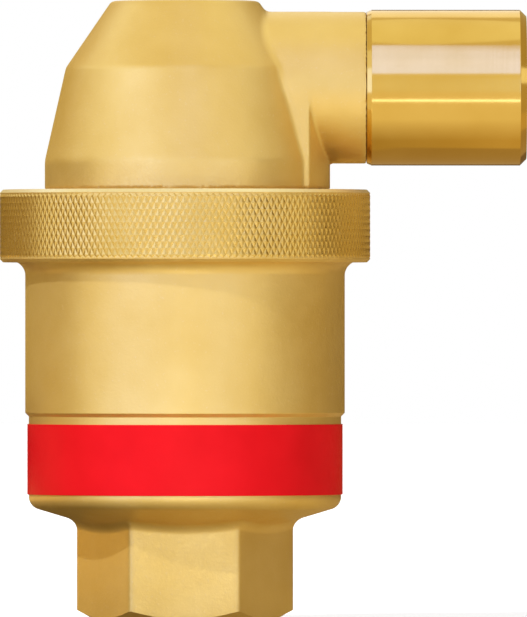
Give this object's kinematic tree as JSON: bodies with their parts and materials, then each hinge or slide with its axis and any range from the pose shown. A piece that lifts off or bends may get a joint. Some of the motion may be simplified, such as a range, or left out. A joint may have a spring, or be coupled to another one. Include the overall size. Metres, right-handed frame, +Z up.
{
  "type": "automatic air vent",
  "caption": "Brass automatic air vent: float chamber on a hexagon inlet, knurled collar, screwed cover and side outlet; a float and lever close the vent nozzle.",
  "frame": {"origin": "centre of the inlet face, the lower end of the hexagon", "axes": "+Z up along the chamber's axis, +X towards the outlet"},
  "size_m": [0.0725, 0.051, 0.0853],
  "materials": {
    "forged_brass": "forged, blasted and bright dipped",
    "turned_brass": "turned and polished",
    "red_film": "glossy film",
    "black_rubber": "moulded",
    "red_fibre": "vulcanised fibre",
    "stainless": "rolled sheet",
    "pale_plastic": "moulded polypropylene"
  },
  "bodies": {
    "chamber": {"body": "forged_brass", "marking_band": "red_film"},
    "cover_seal": {"cap_o_ring": "black_rubber"},
    "cover": {"cap": "forged_brass", "outlet_coupling": "turned_brass", "outlet_gasket": "red_fibre", "valve_nozzle": "turned_brass", "nozzle_washer": "red_fibre", "lever_bracket": "stainless", "pivot_pin": "stainless", "pivot_clip": "stainless"},
    "float": {"float_shell": "pale_plastic", "float_base": "pale_plastic", "float_stem": "turned_brass", "stem_washer": "stainless", "stem_nut": "turned_brass"},
    "valve_lever": {"lever": "stainless", "valve_pad": "black_rubber", "pad_stud": "turned_brass", "link_pin": "stainless", "link_clip": "stainless"}
  },
  "joints": [
    {"name": "cover_lift", "type": "slide", "parent": "chamber", "child": "cover_seal", "axis": [0, 0, 1], "range_m": [0, 0.0061]},
    {"name": "cover_turn", "type": "hinge", "parent": "cover_seal", "child": "cover", "pos_m": [0, 0, 0.0593], "axis": [0, 0, 1], "range_deg": [0, 1440]},
    {"name": "float_rise", "type": "slide", "parent": "cover", "child": "float", "axis": [0, 0, 1], "range_m": [0, 0.00313]},
    {"name": "lever_swing", "type": "hinge", "parent": "cover", "child": "valve_lever", "pos_m": [0.0082, 0, 0.06741], "axis": [0, 1, 0], "range_deg": [0, 22.05]}
  ],
  "couplings": [
    {"joint": "cover_lift", "follows": "cover_turn", "m_per_rad": 0.00023873},
    {"joint": "lever_swing", "follows": "float_rise", "rad_per_m": 122.7}
  ]
}
